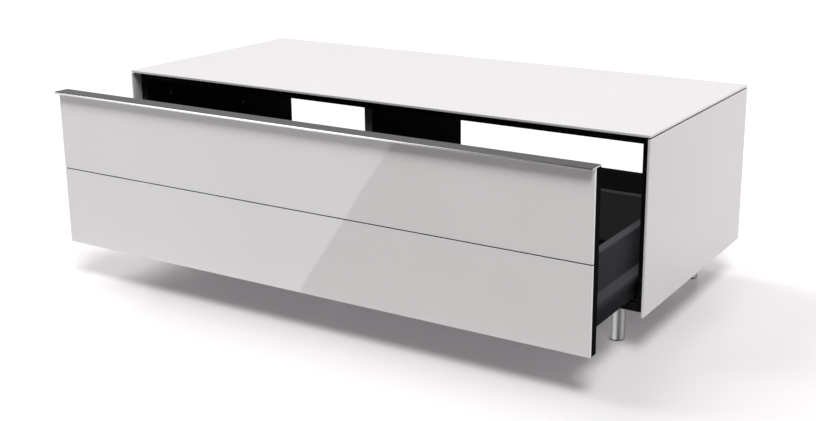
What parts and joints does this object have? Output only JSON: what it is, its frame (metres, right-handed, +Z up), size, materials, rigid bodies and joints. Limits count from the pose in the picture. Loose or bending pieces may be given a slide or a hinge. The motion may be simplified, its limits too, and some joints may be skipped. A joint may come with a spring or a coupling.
{
  "type": "tv stand",
  "caption": "Low TV stand clad in white glass on round steel legs, with a full-width drawer front on runners, a metal handle profile along its top and open space above the boxes.",
  "frame": {"origin": "on the floor under the middle of the stored shape, with the drawer standing open", "axes": "+X to the right as seen from the front, +Y from the front to the back, +Z up"},
  "size_m": [1.1, 0.678, 0.374],
  "materials": {
    "white_glass": "polished glass lacquered white on its back, so it isn't seen through",
    "black_board": "particle board faced with matt black foil",
    "box_board": "particle board faced with dark grey foil",
    "box_steel": "dark grey powder coat, satin",
    "rail_steel": "zinc-plated sheet",
    "bracket_steel": "zinc-plated sheet",
    "handle_aluminium": "satin anodised",
    "leg_steel": "brushed round the tube",
    "plate_steel": "zinc-plated",
    "glide_plastic": "dark grey, fine grain",
    "bumper_rubber": "soft black buffer",
    "screw_steel": "bright zinc",
    "cam_zinc": "zinc die casting",
    "bolt_steel": "zinc-plated",
    "dowel_beech": "fluted beech, plain here"
  },
  "bodies": {
    "carcass": {"back_panel": "black_board", "bottom_board": "black_board", "bumpers": "bumper_rubber", "cabinet_rail_left_inner": "rail_steel", "cabinet_rail_left_outer": "rail_steel", "cabinet_rail_right_inner": "rail_steel", "cabinet_rail_right_outer": "rail_steel", "cam_bolts": "bolt_steel", "cam_housings": "cam_zinc", "centre_divider": "black_board", "dowels": "dowel_beech", "left_side_board": "black_board", "left_side_glass": "white_glass", "leg_front_left": "leg_steel", "leg_front_right": "leg_steel", "leg_glides": "glide_plastic", "leg_plates": "plate_steel", "leg_rear_left": "leg_steel", "leg_rear_right": "leg_steel", "leg_screws": "screw_steel", "rail_screws": "screw_steel", "right_side_board": "black_board", "right_side_glass": "white_glass", "side_screws": "screw_steel", "top_board": "black_board", "top_glass": "white_glass"},
    "drawer": {"front_board": "black_board", "front_glass_upper": "white_glass", "front_glass_lower": "white_glass", "handle_profile": "handle_aluminium", "handle_screws": "screw_steel", "front_brackets": "bracket_steel", "bracket_screws": "screw_steel", "box_side_left_outer": "box_steel", "box_side_left_inner": "box_steel", "box_side_right_inner": "box_steel", "box_side_right_outer": "box_steel", "drawer_rail_left_outer": "rail_steel", "drawer_rail_left_inner": "rail_steel", "drawer_rail_right_inner": "rail_steel", "drawer_rail_right_outer": "rail_steel", "box_bottom_left": "box_board", "box_bottom_right": "box_board", "box_back_left": "box_board", "box_back_right": "box_board", "box_screws": "screw_steel", "back_screws": "screw_steel"},
    "middle_rail_left_outer": {"middle_rail_left_outer": "rail_steel"},
    "middle_rail_left_inner": {"middle_rail_left_inner": "rail_steel"},
    "middle_rail_right_inner": {"middle_rail_right_inner": "rail_steel"},
    "middle_rail_right_outer": {"middle_rail_right_outer": "rail_steel"}
  },
  "joints": [
    {"name": "drawer_slide", "type": "slide", "parent": "carcass", "child": "drawer", "axis": [0, -1, 0], "range_m": [-0.19, 0.2]},
    {"name": "middle_rail_left_outer_slide", "type": "slide", "parent": "carcass", "child": "middle_rail_left_outer", "axis": [0, -1, 0], "range_m": [-0.095, 0.1]},
    {"name": "middle_rail_left_inner_slide", "type": "slide", "parent": "carcass", "child": "middle_rail_left_inner", "axis": [0, -1, 0], "range_m": [-0.095, 0.1]},
    {"name": "middle_rail_right_inner_slide", "type": "slide", "parent": "carcass", "child": "middle_rail_right_inner", "axis": [0, -1, 0], "range_m": [-0.095, 0.1]},
    {"name": "middle_rail_right_outer_slide", "type": "slide", "parent": "carcass", "child": "middle_rail_right_outer", "axis": [0, -1, 0], "range_m": [-0.095, 0.1]}
  ],
  "couplings": [
    {"joint": "middle_rail_left_outer_slide", "follows": "drawer_slide", "ratio": 0.5},
    {"joint": "middle_rail_left_inner_slide", "follows": "drawer_slide", "ratio": 0.5},
    {"joint": "middle_rail_right_inner_slide", "follows": "drawer_slide", "ratio": 0.5},
    {"joint": "middle_rail_right_outer_slide", "follows": "drawer_slide", "ratio": 0.5}
  ]
}
